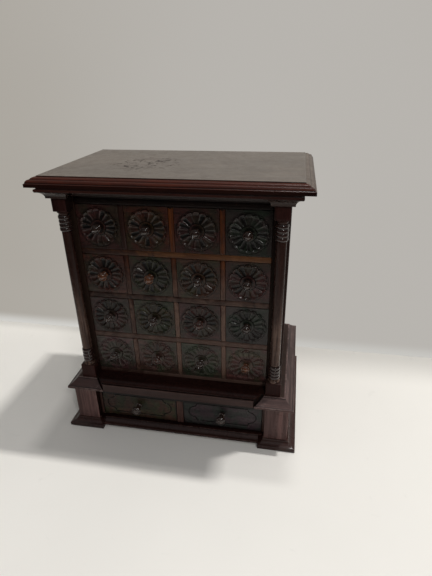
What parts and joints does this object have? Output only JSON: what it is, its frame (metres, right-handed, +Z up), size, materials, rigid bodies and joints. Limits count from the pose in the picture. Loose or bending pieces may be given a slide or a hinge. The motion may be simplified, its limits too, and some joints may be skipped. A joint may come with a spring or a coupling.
{
  "type": "table cabinet of drawers",
  "caption": "Table-top cabinet of small carved drawers in a square grid between corner columns, on a moulded base with wide drawers.",
  "frame": {"origin": "on the floor, at the middle of the base", "axes": "+X to the right seen from the front, -Y out of the drawer fronts, +Z up"},
  "size_m": [0.562, 0.38, 0.6232],
  "materials": {
    "dark_mahogany": "satin, dark red-brown stain",
    "red_mahogany": "semi-gloss, red-brown stain",
    "worn_dividers": "satin, worn through to lighter wood",
    "drawer_wood": "satin, dark stain",
    "base_drawer_wood": "satin, grey-brown stain",
    "knob_wood": "semi-gloss",
    "plain_boards": "matt, unpolished"
  },
  "bodies": {
    "cabinet": {"top_board": "dark_mahogany", "sub_top": "red_mahogany", "cornice_cove": "red_mahogany", "frieze_rail": "dark_mahogany", "capital_blocks": "red_mahogany", "left_column": "red_mahogany", "right_column": "red_mahogany", "column_plinths": "red_mahogany", "left_side_panel": "dark_mahogany", "right_side_panel": "dark_mahogany", "face_stiles": "dark_mahogany", "back_panel": "plain_boards", "drawer_shelves": "worn_dividers", "drawer_partitions": "worn_dividers", "base_top": "dark_mahogany", "base_cap_moulding": "red_mahogany", "waist_moulding": "red_mahogany", "base_posts": "red_mahogany", "base_side_panels": "dark_mahogany", "base_back_panel": "plain_boards", "base_dividers": "worn_dividers", "base_rails": "red_mahogany", "base_floor": "plain_boards", "plinth_moulding": "red_mahogany"},
    "small_drawer_r1c1": {"drawer_r1c1": "drawer_wood", "knob_r1c1": "knob_wood"},
    "small_drawer_r1c2": {"drawer_r1c2": "drawer_wood", "knob_r1c2": "knob_wood"},
    "small_drawer_r1c3": {"drawer_r1c3": "drawer_wood", "knob_r1c3": "knob_wood"},
    "small_drawer_r1c4": {"drawer_r1c4": "drawer_wood", "knob_r1c4": "knob_wood"},
    "small_drawer_r2c1": {"drawer_r2c1": "drawer_wood", "knob_r2c1": "knob_wood"},
    "small_drawer_r2c2": {"drawer_r2c2": "drawer_wood", "knob_r2c2": "knob_wood"},
    "small_drawer_r2c3": {"drawer_r2c3": "drawer_wood", "knob_r2c3": "knob_wood"},
    "small_drawer_r2c4": {"drawer_r2c4": "drawer_wood", "knob_r2c4": "knob_wood"},
    "small_drawer_r3c1": {"drawer_r3c1": "drawer_wood", "knob_r3c1": "knob_wood"},
    "small_drawer_r3c2": {"drawer_r3c2": "drawer_wood", "knob_r3c2": "knob_wood"},
    "small_drawer_r3c3": {"drawer_r3c3": "drawer_wood", "knob_r3c3": "knob_wood"},
    "small_drawer_r3c4": {"drawer_r3c4": "drawer_wood", "knob_r3c4": "knob_wood"},
    "small_drawer_r4c1": {"drawer_r4c1": "drawer_wood", "knob_r4c1": "knob_wood"},
    "small_drawer_r4c2": {"drawer_r4c2": "drawer_wood", "knob_r4c2": "knob_wood"},
    "small_drawer_r4c3": {"drawer_r4c3": "drawer_wood", "knob_r4c3": "knob_wood"},
    "small_drawer_r4c4": {"drawer_r4c4": "drawer_wood", "knob_r4c4": "knob_wood"},
    "base_drawer_left_body": {"base_drawer_left": "base_drawer_wood", "base_knob_left": "knob_wood"},
    "base_drawer_right_body": {"base_drawer_right": "base_drawer_wood", "base_knob_right": "knob_wood"}
  },
  "joints": [
    {"name": "slide_r1c1", "type": "slide", "parent": "cabinet", "child": "small_drawer_r1c1", "axis": [0, -1, 0], "range_m": [0, 0.2]},
    {"name": "slide_r1c2", "type": "slide", "parent": "cabinet", "child": "small_drawer_r1c2", "axis": [0, -1, 0], "range_m": [0, 0.2]},
    {"name": "slide_r1c3", "type": "slide", "parent": "cabinet", "child": "small_drawer_r1c3", "axis": [0, -1, 0], "range_m": [0, 0.2]},
    {"name": "slide_r1c4", "type": "slide", "parent": "cabinet", "child": "small_drawer_r1c4", "axis": [0, -1, 0], "range_m": [0, 0.2]},
    {"name": "slide_r2c1", "type": "slide", "parent": "cabinet", "child": "small_drawer_r2c1", "axis": [0, -1, 0], "range_m": [0, 0.2]},
    {"name": "slide_r2c2", "type": "slide", "parent": "cabinet", "child": "small_drawer_r2c2", "axis": [0, -1, 0], "range_m": [0, 0.2]},
    {"name": "slide_r2c3", "type": "slide", "parent": "cabinet", "child": "small_drawer_r2c3", "axis": [0, -1, 0], "range_m": [0, 0.2]},
    {"name": "slide_r2c4", "type": "slide", "parent": "cabinet", "child": "small_drawer_r2c4", "axis": [0, -1, 0], "range_m": [0, 0.2]},
    {"name": "slide_r3c1", "type": "slide", "parent": "cabinet", "child": "small_drawer_r3c1", "axis": [0, -1, 0], "range_m": [0, 0.2]},
    {"name": "slide_r3c2", "type": "slide", "parent": "cabinet", "child": "small_drawer_r3c2", "axis": [0, -1, 0], "range_m": [0, 0.2]},
    {"name": "slide_r3c3", "type": "slide", "parent": "cabinet", "child": "small_drawer_r3c3", "axis": [0, -1, 0], "range_m": [0, 0.2]},
    {"name": "slide_r3c4", "type": "slide", "parent": "cabinet", "child": "small_drawer_r3c4", "axis": [0, -1, 0], "range_m": [0, 0.2]},
    {"name": "slide_r4c1", "type": "slide", "parent": "cabinet", "child": "small_drawer_r4c1", "axis": [0, -1, 0], "range_m": [0, 0.2]},
    {"name": "slide_r4c2", "type": "slide", "parent": "cabinet", "child": "small_drawer_r4c2", "axis": [0, -1, 0], "range_m": [0, 0.2]},
    {"name": "slide_r4c3", "type": "slide", "parent": "cabinet", "child": "small_drawer_r4c3", "axis": [0, -1, 0], "range_m": [0, 0.2]},
    {"name": "slide_r4c4", "type": "slide", "parent": "cabinet", "child": "small_drawer_r4c4", "axis": [0, -1, 0], "range_m": [0, 0.2]},
    {"name": "slide_base_left", "type": "slide", "parent": "cabinet", "child": "base_drawer_left_body", "axis": [0, -1, 0], "range_m": [0, 0.22]},
    {"name": "slide_base_right", "type": "slide", "parent": "cabinet", "child": "base_drawer_right_body", "axis": [0, -1, 0], "range_m": [0, 0.22]}
  ]
}
